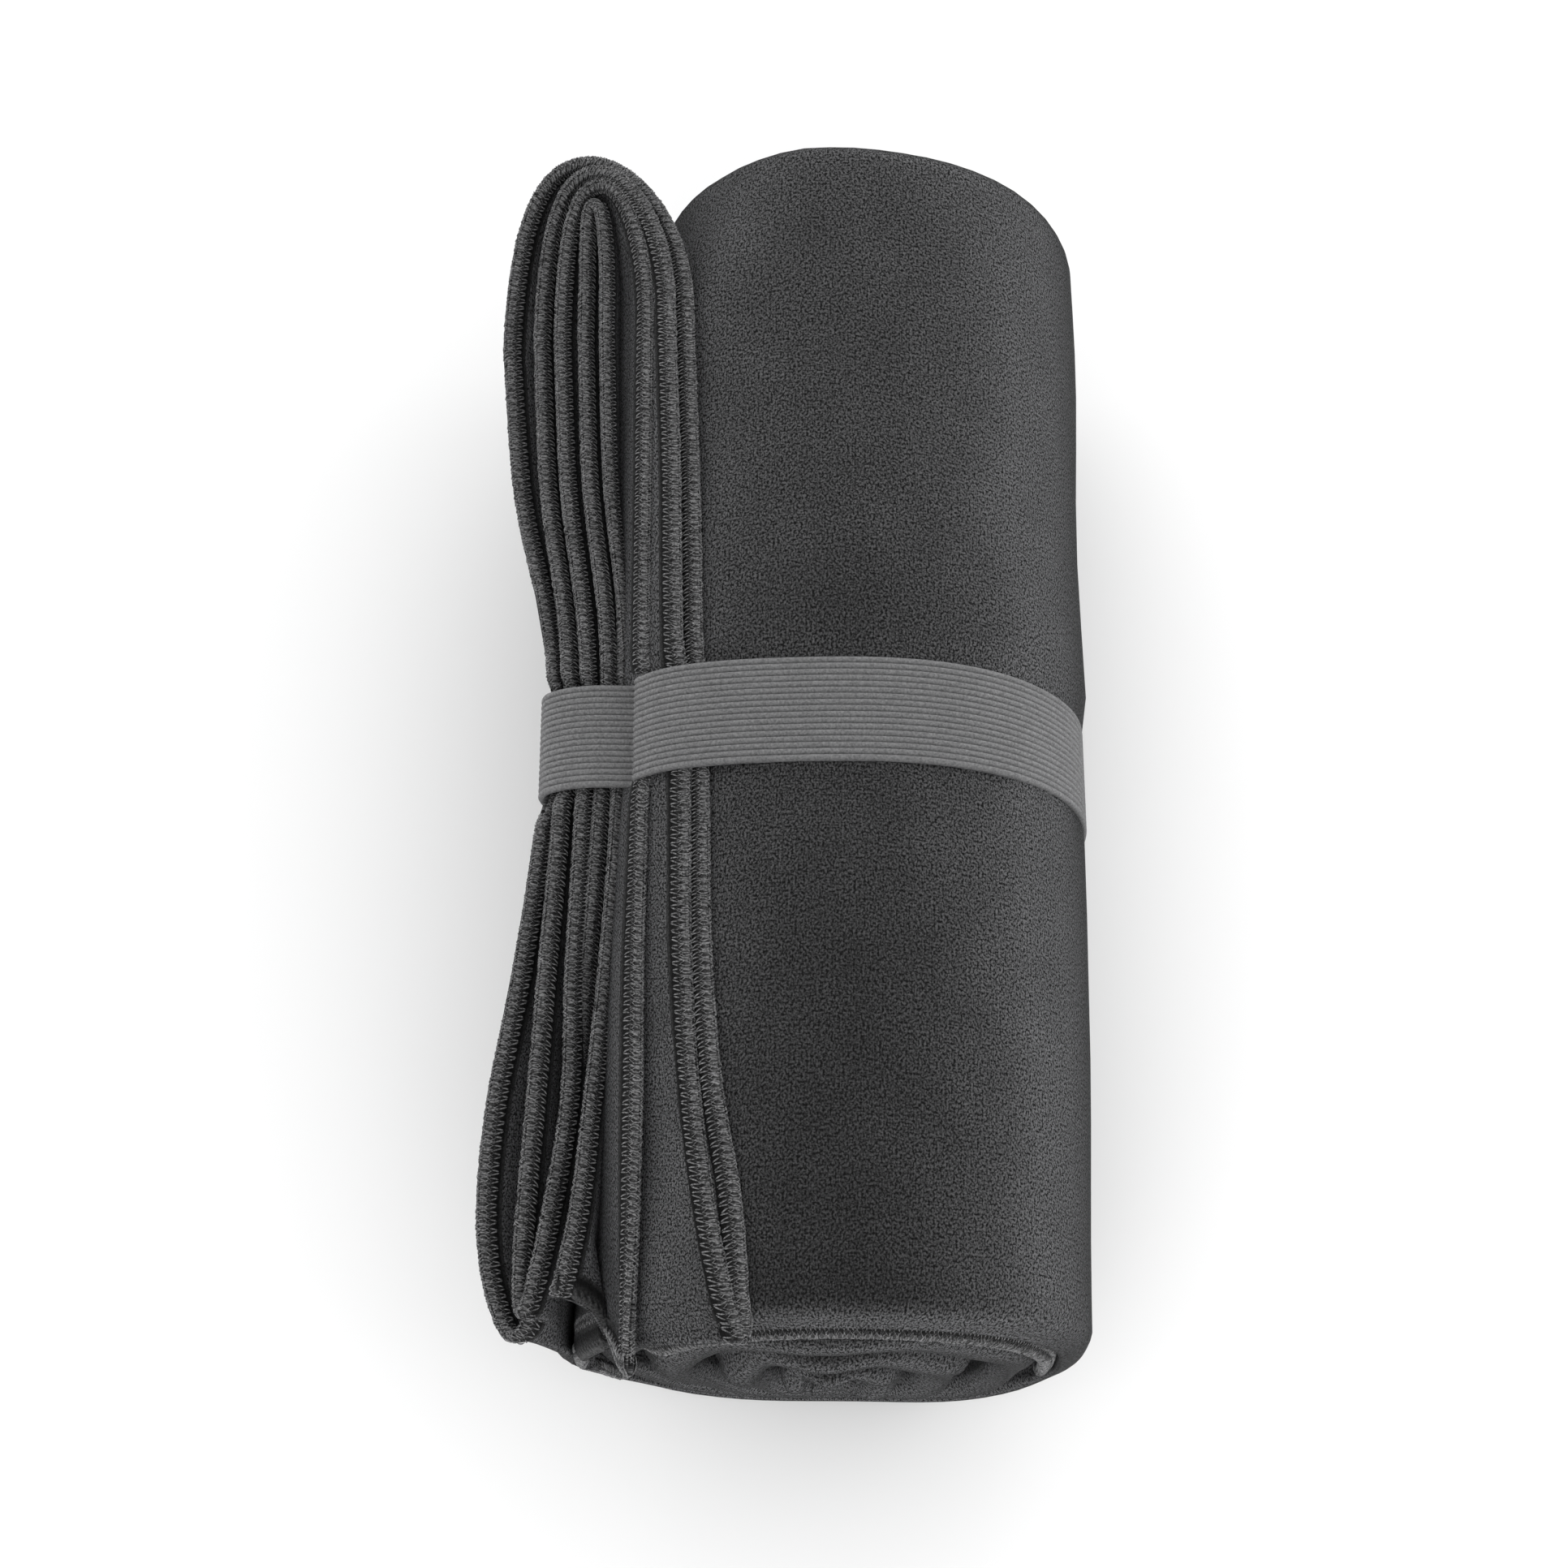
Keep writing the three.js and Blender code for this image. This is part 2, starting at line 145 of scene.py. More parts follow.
NEAR_GAP = [0.05, 0.16, 0.28, 0.4, 0.76, 0.84, 0.9, 0.97]
ROUND_NEAR = 107.5
ROUND_FAR = 111.6
ROUND_RADIUS = 4.6
FLOOR_SOFT = 0.7
FOLD_ORDER = [4, 3, 0, 7, 6, 1, 2, 5]
ARCH_LEAN = [-4.6, -3.9, -2.8, -1.2, -1.2, -2.8, -3.9, -4.6]
ARCH_RISE = 5.0
ARCH_LENGTH = 36
HEM_END = 80

# Far end under the loose end: share of the radius that falls away, from where and how fast
HOLLOW_ANGLE = [100, 110, 121, 131, 155, 185, 230]
HOLLOW_LEFT = [0, 0.04, 0.08, 0.1, 0.16, 0.15, 0]
HOLLOW_FROM = 86
HOLLOW_LENGTH = 26
HOLLOW_TURN = 460

# Where the near folds part from the even stack, and where the foot of the roll skews
NEAR_FROM = -99
NEAR_LENGTH = 6
SKEW_FROM = -85
SKEW_LENGTH = 25

# The near fold of the four outer layers fills the turn under the roll between these angles
FILL_FROM = 196
FILL_TO = 352
FILL_FADE = 34
INNER_FADE = 60

# Waves of the wound cloth: height, waves a turn and start, in the near folds
FOLD_WAVES = [(1.2, 3, 0.4), (0.9, 7, 0)]
FOLD_WAVE_FADE = 500
RIDGE_WAVES = [(0.5, 3, 0.9, 0.0), (0.35, 5, 0.0, 0.6)]
RIDGE_FADE = 120
NEAR_RIPPLE = 0.5
NEAR_RIPPLES = 5

# Turns over which the outline of the outer face fades into round turns, and the squeeze ends
SHAPE_KEPT = 0.97
SHAPE_FADE = 1.6
SQUEEZE_ANGLE = 720

# Most of the way round an edge of the roll, and the share of it lost in a filled turn
EDGE_MOST = 0.98
EDGE_LOST = 0.6

# Swells of the whole roll and puckers beside the band
LONG_SWELL = 0.32
SHORT_SWELL = 0.22
PUCKER = 0.34
PUCKERS = 11
PUCKER_LENGTH = 9
HELD_LENGTH = 3

# Stack of flattened cloth on the floor: height of a layer and of a turn
FLOOR_LAYER = 0.96
FLOOR_TURN = 8.3
FLOOR_BAND = 1.5

# Room between cloth and band, and between layers of the loose end and the roll
BAND_ROOM = 0.4
LAYER_ROOM = 0.85

# Far ends of the roll: stand-out at the left and draw-in at the right
FAR_STAND = 1.7
FAR_DRAW = 4.9

# Outer face of the band: angle from the right and radius
BAND_ANGLE = [0, 12, 24, 36, 48, 58, 68, 78, 90, 102, 110, 118, 126, 132, 136.2, 138.0, 139.4]
BAND_RADIUS = [48.6, 49.1, 49.8, 49.8, 49.5, 48.8, 47.9, 47.0, 46.4, 46.9, 48.1, 49.7]
BAND_RADIUS += [51.4, 51.9, 51.2, 49.4, 50.8]
BAND_ANGLE += [143.4, 148.6, 151.6, 154.4, 160, 168, 178, 190, 208, 226, 240, 252, 262]
BAND_RADIUS += [55.6, 59.8, 61.0, 60.6, 57.2, 53.4, 51.2, 50.4, 49.8, 49.3, 49.1, 49.0, 48.9]
BAND_ANGLE += [278, 288, 302, 318, 338, 360]
BAND_RADIUS += [48.8, 48.7, 48.6, 48.9, 48.8, 48.6]


def smooth_value(places, values, at):
    """Values of a table at many places, along a smooth curve through its rows."""
    places = np.asarray(places, float)
    values = np.asarray(values, float)
    at = np.asarray(at, float)
    row = np.clip(np.searchsorted(places, at, side="right") - 1, 0, len(places) - 2)
    slope = np.gradient(values, places) if len(places) > 2 else np.zeros(len(places))
    first = (values[1] - values[0]) / (places[1] - places[0])
    last = (values[-1] - values[-2]) / (places[-1] - places[-2])
    slope[0], slope[-1] = first, last
    width = places[row + 1] - places[row]
    t = np.clip((at - places[row]) / width, 0, 1)
    rise = values[row + 1] - values[row]
    a = slope[row] * width
    b = slope[row + 1] * width
    return values[row] + t * (a + t * (3 * rise - 2 * a - b + t * (a + b - 2 * rise)))


def band_limit(angle, y):
    """Greatest radius that the band leaves the cloth, at an angle in degrees and a place."""
    inner = smooth_value(BAND_ANGLE, BAND_RADIUS, angle % 360) - BAND_THICK - BAND_ROOM
    inner = inner - smooth_value(GROWTH_Y, GROWTH_OUT, y) * np.maximum(0, np.cos(np.radians(angle)))
    away = np.maximum(0, np.abs(y - BAND_MIDDLE) - BAND_WIDTH / 2 - 0.3)
    return inner + 0.9 * away ** 0.75


def face_radius(angle):
    """Radius of the wound cloth's outer face at an angle counted on through the turns."""
    turn = (angle - LOOSE_ANGLE) / 360
    first = LOOSE_ANGLE + (angle - LOOSE_ANGLE) % 360
    shape = smooth_value(FACE_ANGLE, FACE_RADIUS, first)
    round_first = smooth_value(WOUND_TURN, WOUND_RADIUS, (first - LOOSE_ANGLE) / 360)
    fade = np.clip(1 - (turn - SHAPE_KEPT) / SHAPE_FADE, 0, 1)
    return smooth_value(WOUND_TURN, WOUND_RADIUS, turn) + (shape - round_first) * fade


def foot_skew(z, y):
    """How far the foot of the roll leans to the right near the camera."""
    return NEAR_SKEW * np.clip(1 - z / AXIS_Z, 0, 1) * eased((SKEW_FROM - y) / SKEW_LENGTH)


def section_place(angle, radius, y):
    """x and z of a point of the roll's section, kept over the floor."""
    out = 0.5 * smooth_value(GROWTH_Y, GROWTH_OUT, y)
    z = AXIS_Z + radius * np.sin(np.radians(angle))
    skew = foot_skew(z, y)
    x = AXIS_X + out + skew + (1 + out / AXIS_Z) * radius * np.cos(np.radians(angle))
    return x, z


def section_angle(x, z, y):
    """Angle and radius of a point in the roll's section, the other way round."""
    out = 0.5 * smooth_value(GROWTH_Y, GROWTH_OUT, y)
    skew = foot_skew(z, y)
    across = (x - AXIS_X - out - skew) / (1 + out / AXIS_Z)
    up = z - AXIS_Z
    return np.degrees(np.arctan2(up, across)) % 360, np.hypot(across, up)


def eased(value):
    """0 to 1 with a soft start and end."""
    t = np.clip(value, 0, 1)
    return t * t * (3 - 2 * t)


def squeezed(radius, face, angle, y):
    """Radius in the roll once the band has drawn the cloth in."""
    squeeze = np.clip(band_limit(angle, y) / np.maximum(face, 1), 0, 1)
    depth = np.clip((angle - LOOSE_ANGLE) / SQUEEZE_ANGLE, 0, 1)
    return radius * (squeeze + (1 - squeeze) * depth)


def filled(angle):
    """1 where the near fold of the four outer layers fills the whole turn, else 0."""
    under = eased((angle - FILL_FROM) / FILL_FADE) * eased((FILL_TO - angle) / FILL_FADE)
    return np.maximum(under, eased((angle - INNER_TURN) / INNER_FADE))


def near_part(y):
    """0 along the roll and 1 in its near folds."""
    return eased((NEAR_FROM - y) / NEAR_LENGTH)


def layer_share(layer, angle, y):
    """Depth of a layer in its turn."""
    share = (layer + 0.5) / LAYERS
    near = NEAR_GAP[layer] + (NEAR_SPREAD[layer] - NEAR_GAP[layer]) * filled(angle)
    return share + (near - share) * near_part(y)


def far_hollow(angle, y):
    """Share left of the radius where the far end of the roll falls away under the loose end."""
    place = angle % 360
    left = np.interp(place, HOLLOW_ANGLE, HOLLOW_LEFT)
    return 1 - left * eased((y - HOLLOW_FROM) / HOLLOW_LENGTH) * (angle > HOLLOW_TURN)


def droop(y, angle):
    """How far the rounded near and far edges of the roll draw in."""
    near = np.clip((-ROUND_NEAR - y) / ROUND_RADIUS, 0, EDGE_MOST)
    far = np.clip((y - ROUND_FAR) / ROUND_RADIUS, 0, EDGE_MOST)
    first = 1 - EDGE_LOST * filled(angle)
    return ROUND_RADIUS * (1 - np.sqrt(1 - np.maximum(near, far) ** 2)) * first


def unevenness(angle, y):
    """Soft hollows and swells of the rolled cloth, more of them beside the band."""
    turn = np.radians(angle)
    soft = LONG_SWELL * np.sin(0.043 * y + 1.7 * turn + 0.6) * np.sin(0.021 * y - 2.3 * turn)
    soft = soft + SHORT_SWELL * np.sin(0.09 * y + 0.8 * np.sin(3 * turn))
    away = np.abs(y - BAND_MIDDLE) - BAND_WIDTH / 2
    near_band = np.exp(-np.maximum(0, away) / PUCKER_LENGTH)
    pucker = PUCKER * np.sin(PUCKERS * turn + 0.7 * np.sin(4 * turn)) * near_band
    bulge = soft + pucker
    held = np.clip(1.5 - away / HELD_LENGTH, 0, 1)
    bulge = bulge - held * np.maximum(0, bulge)
    inner = eased((angle - INNER_TURN) / INNER_FADE) * near_part(y)
    inner = inner * eased((WAVE_END - angle) / FOLD_WAVE_FADE)
    waves = sum(height * np.sin(count * turn + start) for height, count, start in FOLD_WAVES)
    return bulge + inner * waves


def wound_place(layer, angle, y):
    """Place of the cloth in the roll, for a layer, a winding angle and a place along."""
    face = face_radius(angle)
    inner = face_radius(angle + 360)
    radius = face - layer_share(layer, angle, y) * (face - inner)
    radius = squeezed(radius, face, angle, y) * far_hollow(angle, y)
    radius = radius + unevenness(angle, y)
    radius = np.maximum(radius - droop(y, angle), 0.6)
    x, z = section_place(angle, radius, y)
    turns = (angle - LOOSE_ANGLE) / 360
    first = (layer + 0.5) * FLOOR_LAYER
    low = first + FLOOR_TURN * np.floor(np.maximum(0, turns - 0.02))
    low = np.where(turns < 0.98, first, low)
    low = low + FLOOR_BAND * np.clip(1 - (np.abs(y - BAND_MIDDLE) - 10.3) / 7, 0, 1)
    gap = z - low
    z = low + 0.5 * (gap + np.sqrt(gap * gap + FLOOR_SOFT ** 2))
    return x, z


def loose_place(layer, down, y):
    """Place of the cloth in the loose end: down is 0 at the hem and 1 where the roll begins."""
    index = int(layer)
    hem_x = smooth_value(HEM_Y, HEM_X[index], y)
    hem_z = smooth_value(HEM_Z_Y, HEM_Z[index], y)
    past = np.maximum(0, (y - HEM_END) / ARCH_LENGTH)
    hem_x = hem_x + ARCH_LEAN[index] * past * past
    hem_z = hem_z + ARCH_RISE * past * past
    lean = np.radians(smooth_value(HEM_Z_Y, HEM_LEAN[index], y))
    root_x, root_z = wound_place(layer, np.full_like(y, LOOSE_ANGLE), y)
    reach = HEM_REACH[index] * np.hypot(hem_x - root_x, hem_z - root_z)
    if index == CORNER_LAYER:
        reach = reach * (1 + CORNER_SWELL * eased((CORNER_FROM - y) / CORNER_LENGTH))
    ax, az = hem_x - reach * np.sin(lean), hem_z - reach * np.cos(lean)
    bx, bz = root_x, root_z + reach
    s, t = 1 - down, down
    x = s ** 3 * hem_x + 3 * s * s * t * ax + 3 * s * t * t * bx + t ** 3 * root_x
    z = s ** 3 * hem_z + 3 * s * s * t * az + 3 * s * t * t * bz + t ** 3 * root_z
    angle, radius = section_angle(x, z, y)
    hem = 1 - eased((down - 0.08) / 0.08)
    half = CLOTH_THICK / 2 + 0.05 + (HEM_THICK - CLOTH_THICK) / 2 * hem
    below = np.minimum(angle, LOOSE_ANGLE) + 360
    face = face_radius(below)
    lowest = squeezed(face, face, below, y) * far_hollow(below, y) - droop(y, below) * 0.5
    lowest = lowest + unevenness(below, y) + (LAYERS - 1 - layer) * LAYER_ROOM + half
    highest = band_limit(angle, y) - half
    radius = np.minimum(np.maximum(radius, lowest), np.maximum(highest, 1))
    return section_place(angle, radius, y)


def turn_of(layer, turns):
    """Turn that a layer takes part in at one end, or nothing at a free end."""
    return next((turn for turn in turns if layer in turn["layers"]), None)


def inner_ridge(angle):
    """How the near folds of the inner turns stand out, each past the one round it, in waves."""
    turn = np.radians(angle)
    out = RIDGE_OUT * np.clip((angle - INNER_TURN) / 360, 0, RIDGE_TURNS)
    wave = sum(
        height * np.sin(count * turn + start + drift * angle / 360)
        for height, count, start, drift in RIDGE_WAVES
    )
    return wave * eased((angle - INNER_TURN) / RIDGE_FADE) - out


def turn_start(layer, turns, roll, angle):
    """Where a layer starts to turn; roll is 0 at the hem and 1 in the roll."""
    turn = turn_of(layer, turns)
    hem, rolled = (turn["hem"][0], turn["roll"][0]) if turn else FREE_ENDS[layer]
    roll = roll if turn else np.minimum(1, roll * FREE_SPEED[layer])
    if turns is NEAR_TURNS:
        rolled = rolled + (INNER_START[layer] - rolled) * filled(angle)
        for place, width, back in NEAR_BACK:
            rolled = rolled + back * np.exp(-(((angle - place) / width) ** 2))
        if layer in INNER_FOLDS:
            rolled = rolled + inner_ridge(angle)
    else:
        rolled = rolled + FAR_STAND - FAR_DRAW * np.maximum(0, np.cos(np.radians(angle)))
    return hem + (rolled - hem) * roll


def turn_reach(layer, turns, roll, angle):
    """How far a turn reaches past its start."""
    turn = turn_of(layer, turns)
    hem, rolled = turn["hem"][1], turn["roll"][1]
    if turns is NEAR_TURNS:
        rolled = rolled + (INNER_REACH[layer] - rolled) * filled(angle)
        rolled = rolled + NEAR_RIPPLE * filled(angle) * np.sin(np.radians(NEAR_RIPPLES * angle))
    return hem + (rolled - hem) * roll


def cloth_place(layer, other, share, y, down, angle):
    """Place between two layers of one turn, in the loose end where angle is not a number."""
    places = []
    for index in (layer, other):
        loose_x, loose_z = loose_place(index, down, y)
        wound_x, wound_z = wound_place(index, angle, y)
        loose = down < 1
        places.append((np.where(loose, loose_x, wound_x), np.where(loose, loose_z, wound_z)))
    x = places[0][0] * (1 - share) + places[1][0] * share
    z = places[0][1] * (1 - share) + places[1][1] * share
    return x, z


def full(share, fullness):
    """Share of a turn's width or reach, fuller than a circle."""
    return math.copysign(abs(share) ** (2 / fullness), share)


def fold_columns(leg_steps, bend_steps):
    """Columns of the folded cloth from one free end to the other, closer near the ends."""
    columns = []
    close = 0.5 - 0.5 * np.cos(np.pi * np.arange(leg_steps + 1) / leg_steps)
    parts = 0.45 * close + 0.55 * np.arange(leg_steps + 1) / leg_steps
    for leg, layer in enumerate(FOLD_ORDER):
        to_far = leg % 2 == 0
        for part in parts if to_far else 1 - parts:
            columns.append({"layer": layer, "other": layer, "share": 0.0, "part": part})
        if leg + 1 < len(FOLD_ORDER):
            other = FOLD_ORDER[leg + 1]
            for i in range(1, bend_steps):
                bend = math.pi * i / bend_steps
                columns.append(
                    {"layer": layer, "other": other, "bend": bend, "far": to_far}
                )
    return columns


def column_points(column, down, angle):
    """Points of one column of the cloth, in the roll's frame."""
    roll = eased(down)
    if "bend" in column:
        turns = FAR_TURNS if column["far"] else NEAR_TURNS
        side = 1 if column["far"] else -1
        fullness = turn_of(column["layer"], turns)["fullness"]
        reach = turn_reach(column["layer"], turns, roll, angle)
        start = turn_start(column["layer"], turns, roll, angle)
        y = start + side * reach * full(math.sin(column["bend"]), fullness)
        share = 0.5 - 0.5 * full(math.cos(column["bend"]), fullness)
    else:
        near = turn_start(column["layer"], NEAR_TURNS, roll, angle)
        far = turn_start(column["layer"], FAR_TURNS, roll, angle)
        y = near + (far - near) * column["part"]
        share = 0.0
    x, z = cloth_place(column["layer"], column["other"], share, y, down, angle)
    return np.stack([x, y, z], axis=-1)


def to_frame(points):
    """Points in the roll's millimetres as metres in the part's frame."""
    moved = np.asarray(points, float) + np.array([SHIFT_X, SHIFT_Y, 0.0])
    return moved * MM


def new_object(name, vertices, faces, uv=None):
    """Mesh object from arrays of metres, with a UV map in metres where one is given."""
    mesh = bpy.data.meshes.new(name)
    mesh.from_pydata(vertices.tolist(), [], faces.tolist())
    if uv is not None:
        layer = mesh.uv_layers.new(name="UVMap")
        corner = np.empty(len(mesh.loops), dtype=np.int32)
        mesh.loops.foreach_get("vertex_index", corner)
        layer.data.foreach_set("uv", uv[corner].astype(np.float32).ravel())
    for polygon in mesh.polygons:
        polygon.use_smooth = True
    mesh.update()
    made = bpy.data.objects.new(name, mesh)
    bpy.context.scene.collection.objects.link(made)
    return made


def grid_faces(rows, columns, closed=False):
    """Faces of a grid of rows by columns, closed round the rows where asked."""
    row = np.arange(rows if closed else rows - 1)
    column = np.arange(columns - 1)
    r, c = np.meshgrid(row, column, indexing="ij")
    after = (r + 1) % rows
    quads = np.stack([r * columns + c, after * columns + c, after * columns + c + 1, r * columns + c + 1])
    return quads.reshape(4, -1).T


# Rows of the cloth: the loose end, then the winding angle
LOOSE_DOWN = [0, 0.04, 0.08, 0.12, 0.17, 0.23, 0.3, 0.38, 0.47, 0.56, 0.66, 0.76, 0.86, 0.94]
OUTER_STEP = 6.0
INNER_STEP = 12.0
OUTER_END = LOOSE_ANGLE + 360.0
LEG_STEPS = 18
LEG_LENGTH = 228.0
BEND_STEPS = 14


def cloth_rows():
    """Down share and winding angle of each row of the cloth."""
    outer = np.arange(LOOSE_ANGLE, OUTER_END, OUTER_STEP)
    inner = np.arange(OUTER_END, LOOSE_ANGLE + 360 * WOUND_END, INNER_STEP)
    wound = np.concatenate([outer, inner])
    down = np.concatenate([LOOSE_DOWN, np.ones(len(wound))])
    angle = np.concatenate([np.full(len(LOOSE_DOWN), LOOSE_ANGLE), wound])
    return down, angle


def cloth_lengths(grid, columns):
    """Lengths along and across the cloth at each point, evened out leg by leg and, in the
    roll, from layer to layer."""
    along = np.linalg.norm(np.diff(grid, axis=0), axis=2)
    u = np.concatenate([np.zeros((1, grid.shape[1])), np.cumsum(along, axis=0)])
    true_u = u.copy()
    middles = [i for i, column in enumerate(columns) if column.get("part") is not None]
    middles = [group[len(group) // 2] for group in np.array_split(middles, len(FOLD_ORDER))]
    for row in range(grid.shape[1]):
        drift = u[middles, row] - LEG_LENGTH * np.arange(len(middles))
        u[:, row] -= np.interp(true_u[:, row], true_u[middles, row], drift)
    down = np.linalg.norm(np.diff(grid, axis=1), axis=2)
    v = np.concatenate([np.zeros((grid.shape[0], 1)), np.cumsum(down, axis=1)], axis=1)
    v -= v[:, len(LOOSE_DOWN)][:, None]
    v[:, len(LOOSE_DOWN):] = v[:, len(LOOSE_DOWN):].mean(axis=0)
    return np.stack([u, v], axis=-1).reshape(-1, 2) * MM


def make_towel():
    """The towel as one thin sheet, folded into eight layers and rolled."""
    down, angle = cloth_rows()
    columns = fold_columns(LEG_STEPS, BEND_STEPS)
    grid = np.stack([column_points(column, down, angle) for column in columns])
    uv = cloth_lengths(grid, columns)
    vertices = to_frame(grid.reshape(-1, 3))
    faces = grid_faces(grid.shape[0], grid.shape[1])
    towel = new_object("towel_cloth", vertices, faces, uv)
    thicken(towel, CLOTH_THICK)
    return towel


def thicken(piece, thickness):
    """Gives a sheet its thickness to both sides."""
    modifier = piece.modifiers.new("thickness", "SOLIDIFY")
    modifier.thickness = thickness * MM
    modifier.offset = 0.0
    modifier.use_rim = True
    with bpy.context.temp_override(object=piece, active_object=piece, selected_objects=[piece]):
        bpy.ops.object.modifier_apply(modifier=modifier.name)


# Overlock hem: a puffy edge, a pair of threads a stitch on each face and knots round the edge
STITCH = 1.47
SIDE_HEM_END = {4: 545.0, 5: 200.0}
SIDE_PLAIN = 30.0
THREAD_HALF = 0.13
KNOT_HALF = 0.1
NEEDLE_DEPTH = 3.7
KNOT_DEPTH = 1.9
HOLE_DEPTH = 1.25
LADDER_PLACES = [(0.62, 0.1), (0.8, 0.72)]
KNOT_PLACES = [(0.05, 0.34), (0.25, -0.32), (0.45, 0.3), (0.65, -0.34), (0.85, 0.32)]
PATH_STEP = 0.245
HEM_LEG_STEPS = 70
HEM_BEND_STEPS = 40
HEM_SMOOTH = 9
SECTION_DEPTH = [5.0, 4.5, 4.0, 3.2, 2.2, 1.3, 0.6, 0.15, 0]
SECTION_SIDE = [0.35, 0.5, 0.62, 0.86, 1.02, 1.02, 0.8, 0.42, 0]
# Painted shade of the puffy edge at each depth, where it lies between the threads, and the row whose
# needle holes are painted dark
SECTION_PAINTED_SHADE = [0.5, 0.6, 1.0, 1.0, 0.7, 0, 0, 0, 0]
SHADED_HOLE_ROW = 5


class HemPath:
    """A cloth edge: places along it, the way into the cloth and the cloth's facing."""

    def __init__(self, edge, inside, smooth):
        step = np.linalg.norm(np.diff(edge, axis=0), axis=1)
        keep = np.concatenate([[True], step > 1e-6])
        edge, inside = edge[keep], inside[keep]
        step = np.linalg.norm(np.diff(edge, axis=0), axis=1)
        length = np.concatenate([[0], np.cumsum(step)])
        self.places = np.arange(0, length[-1], PATH_STEP)
        self.edge = self.resampled(length, edge, smooth)
        self.inward = self.unit(self.resampled(length, inside, smooth) - self.edge)
        along = self.unit(np.gradient(self.edge, axis=0))
        self.side = self.unit(np.cross(along, self.inward))
        self.length = self.places[-1]

    def resampled(self, length, points, smooth):
        """Points at even steps along the edge, with small kinks eased out."""
        even = np.stack([np.interp(self.places, length, points[:, i]) for i in range(3)], axis=1)
        if smooth > 1:
            kernel = np.hanning(smooth + 2)[1:-1]
            kernel = kernel / kernel.sum()
            padded = np.pad(even, ((smooth // 2, smooth // 2), (0, 0)), mode="edge")
            columns = [np.convolve(padded[:, i], kernel, mode="valid") for i in range(3)]
            even = np.stack(columns, axis=1)[: len(self.places)]
        return even

    @staticmethod
    def unit(vectors):
        return vectors / np.maximum(np.linalg.norm(vectors, axis=-1, keepdims=True), 1e-9)

    def at(self, along, depth, side):
        """Points at places along the edge, depths into the cloth and heights off it."""
        made = []
        for axis in range(3):
            edge = np.interp(along, self.places, self.edge[:, axis])
            inward = np.interp(along, self.places, self.inward[:, axis])
            face = np.interp(along, self.places, self.side[:, axis])
            made.append(edge + inward * depth + face * side)
        return np.stack(made, axis=-1)


def hem_paths():
    """The long hem through all folds, and the side hems of the two free ends."""
    columns = fold_columns(HEM_LEG_STEPS, HEM_BEND_STEPS)
    down = np.array([0.0, 0.1])
    angle = np.full(2, LOOSE_ANGLE)
    rows = np.stack([column_points(column, down, angle) for column in columns])
    long_hem = HemPath(rows[:, 0], rows[:, 1], HEM_SMOOTH)
    side_hems = []
    for layer in FREE_ENDS:
        loose = np.linspace(0.0, 1.0, 60, endpoint=False)
        last = SIDE_HEM_END[layer]
        wound = np.arange(LOOSE_ANGLE, last, 1.5)
        down = np.concatenate([loose, np.ones(len(wound))])
        angle = np.concatenate([np.full(len(loose), LOOSE_ANGLE), wound])
        ends = []
        for part in (0.0, 0.02):
            column = {"layer": layer, "other": layer, "share": 0.0, "part": part}
            ends.append(column_points(column, down, angle))
        side_hems.append(HemPath(ends[0], ends[1], HEM_SMOOTH))
    return long_hem, side_hems


def swept_threads(centres, sides, half_wide, half_high):
    """Thin threads of diamond section along many short lines."""
    ahead = np.gradient(centres, axis=1)
    ahead = HemPath.unit(ahead)
    across = HemPath.unit(np.cross(ahead, sides))
    count = centres.shape[1]
    taper = np.minimum(1, np.sin(np.linspace(0.12, math.pi - 0.12, count)) * 1.9)[None, :, None]
    ring = [
        centres + across * half_wide * taper,
        centres + sides * half_high * taper,
        centres - across * half_wide * taper,
        centres - sides * half_high * taper,
    ]
    points = np.stack(ring, axis=2)
    threads = points.shape[0]
    base = np.arange(threads)[:, None, None] * count * 4
    step = np.arange(count - 1)[None, :, None] * 4
    corner = np.arange(4)[None, None, :]
    after = (corner + 1) % 4
    a = base + step + corner
    b = base + step + after
    quads = np.stack([a, b, b + 4, a + 4], axis=-1).reshape(-1, 4)
    first = base[:, 0, 0]
    cap = np.stack([first + 3, first + 2, first + 1, first], axis=-1)
    last = first + (count - 1) * 4
    end = np.stack([last, last + 1, last + 2, last + 3], axis=-1)
    return points.reshape(-1, 3), np.concatenate([quads, cap, end])


def section_side(depth):
    """Half thickness of the hem at a depth from its edge."""
    return np.interp(depth, SECTION_DEPTH[::-1], SECTION_SIDE[::-1])


def ladder_threads(path, along, side):
    """The pair of threads of each stitch on one face, drawn together at the needle hole."""
    noise = np.random.default_rng(11 if side > 0 else 12)
    shapes = []
    t = np.linspace(0, 1, 5)
    thick = (1.25 - 0.5 * t)[None, :, None]
    for at_needle, at_edge in LADDER_PLACES:
        wobble = noise.normal(0, 0.04, (len(along), 1))
        reach = NEEDLE_DEPTH + noise.normal(0, 0.09, (len(along), 1))
        depth = reach + (KNOT_DEPTH - reach) * t
        place = along[:, None] + STITCH * (at_needle + (at_edge - at_needle) * t) + wobble
        height = side * (section_side(depth) + 0.05 + 0.16 * np.sin(math.pi * t))
        centres = path.at(place, depth, height)
        raised = path.at(place, depth, height + side * 0.1)
        sides = HemPath.unit(raised - centres)
        shapes.append(swept_threads(centres, sides, THREAD_HALF * thick, THREAD_HALF))
    return shapes


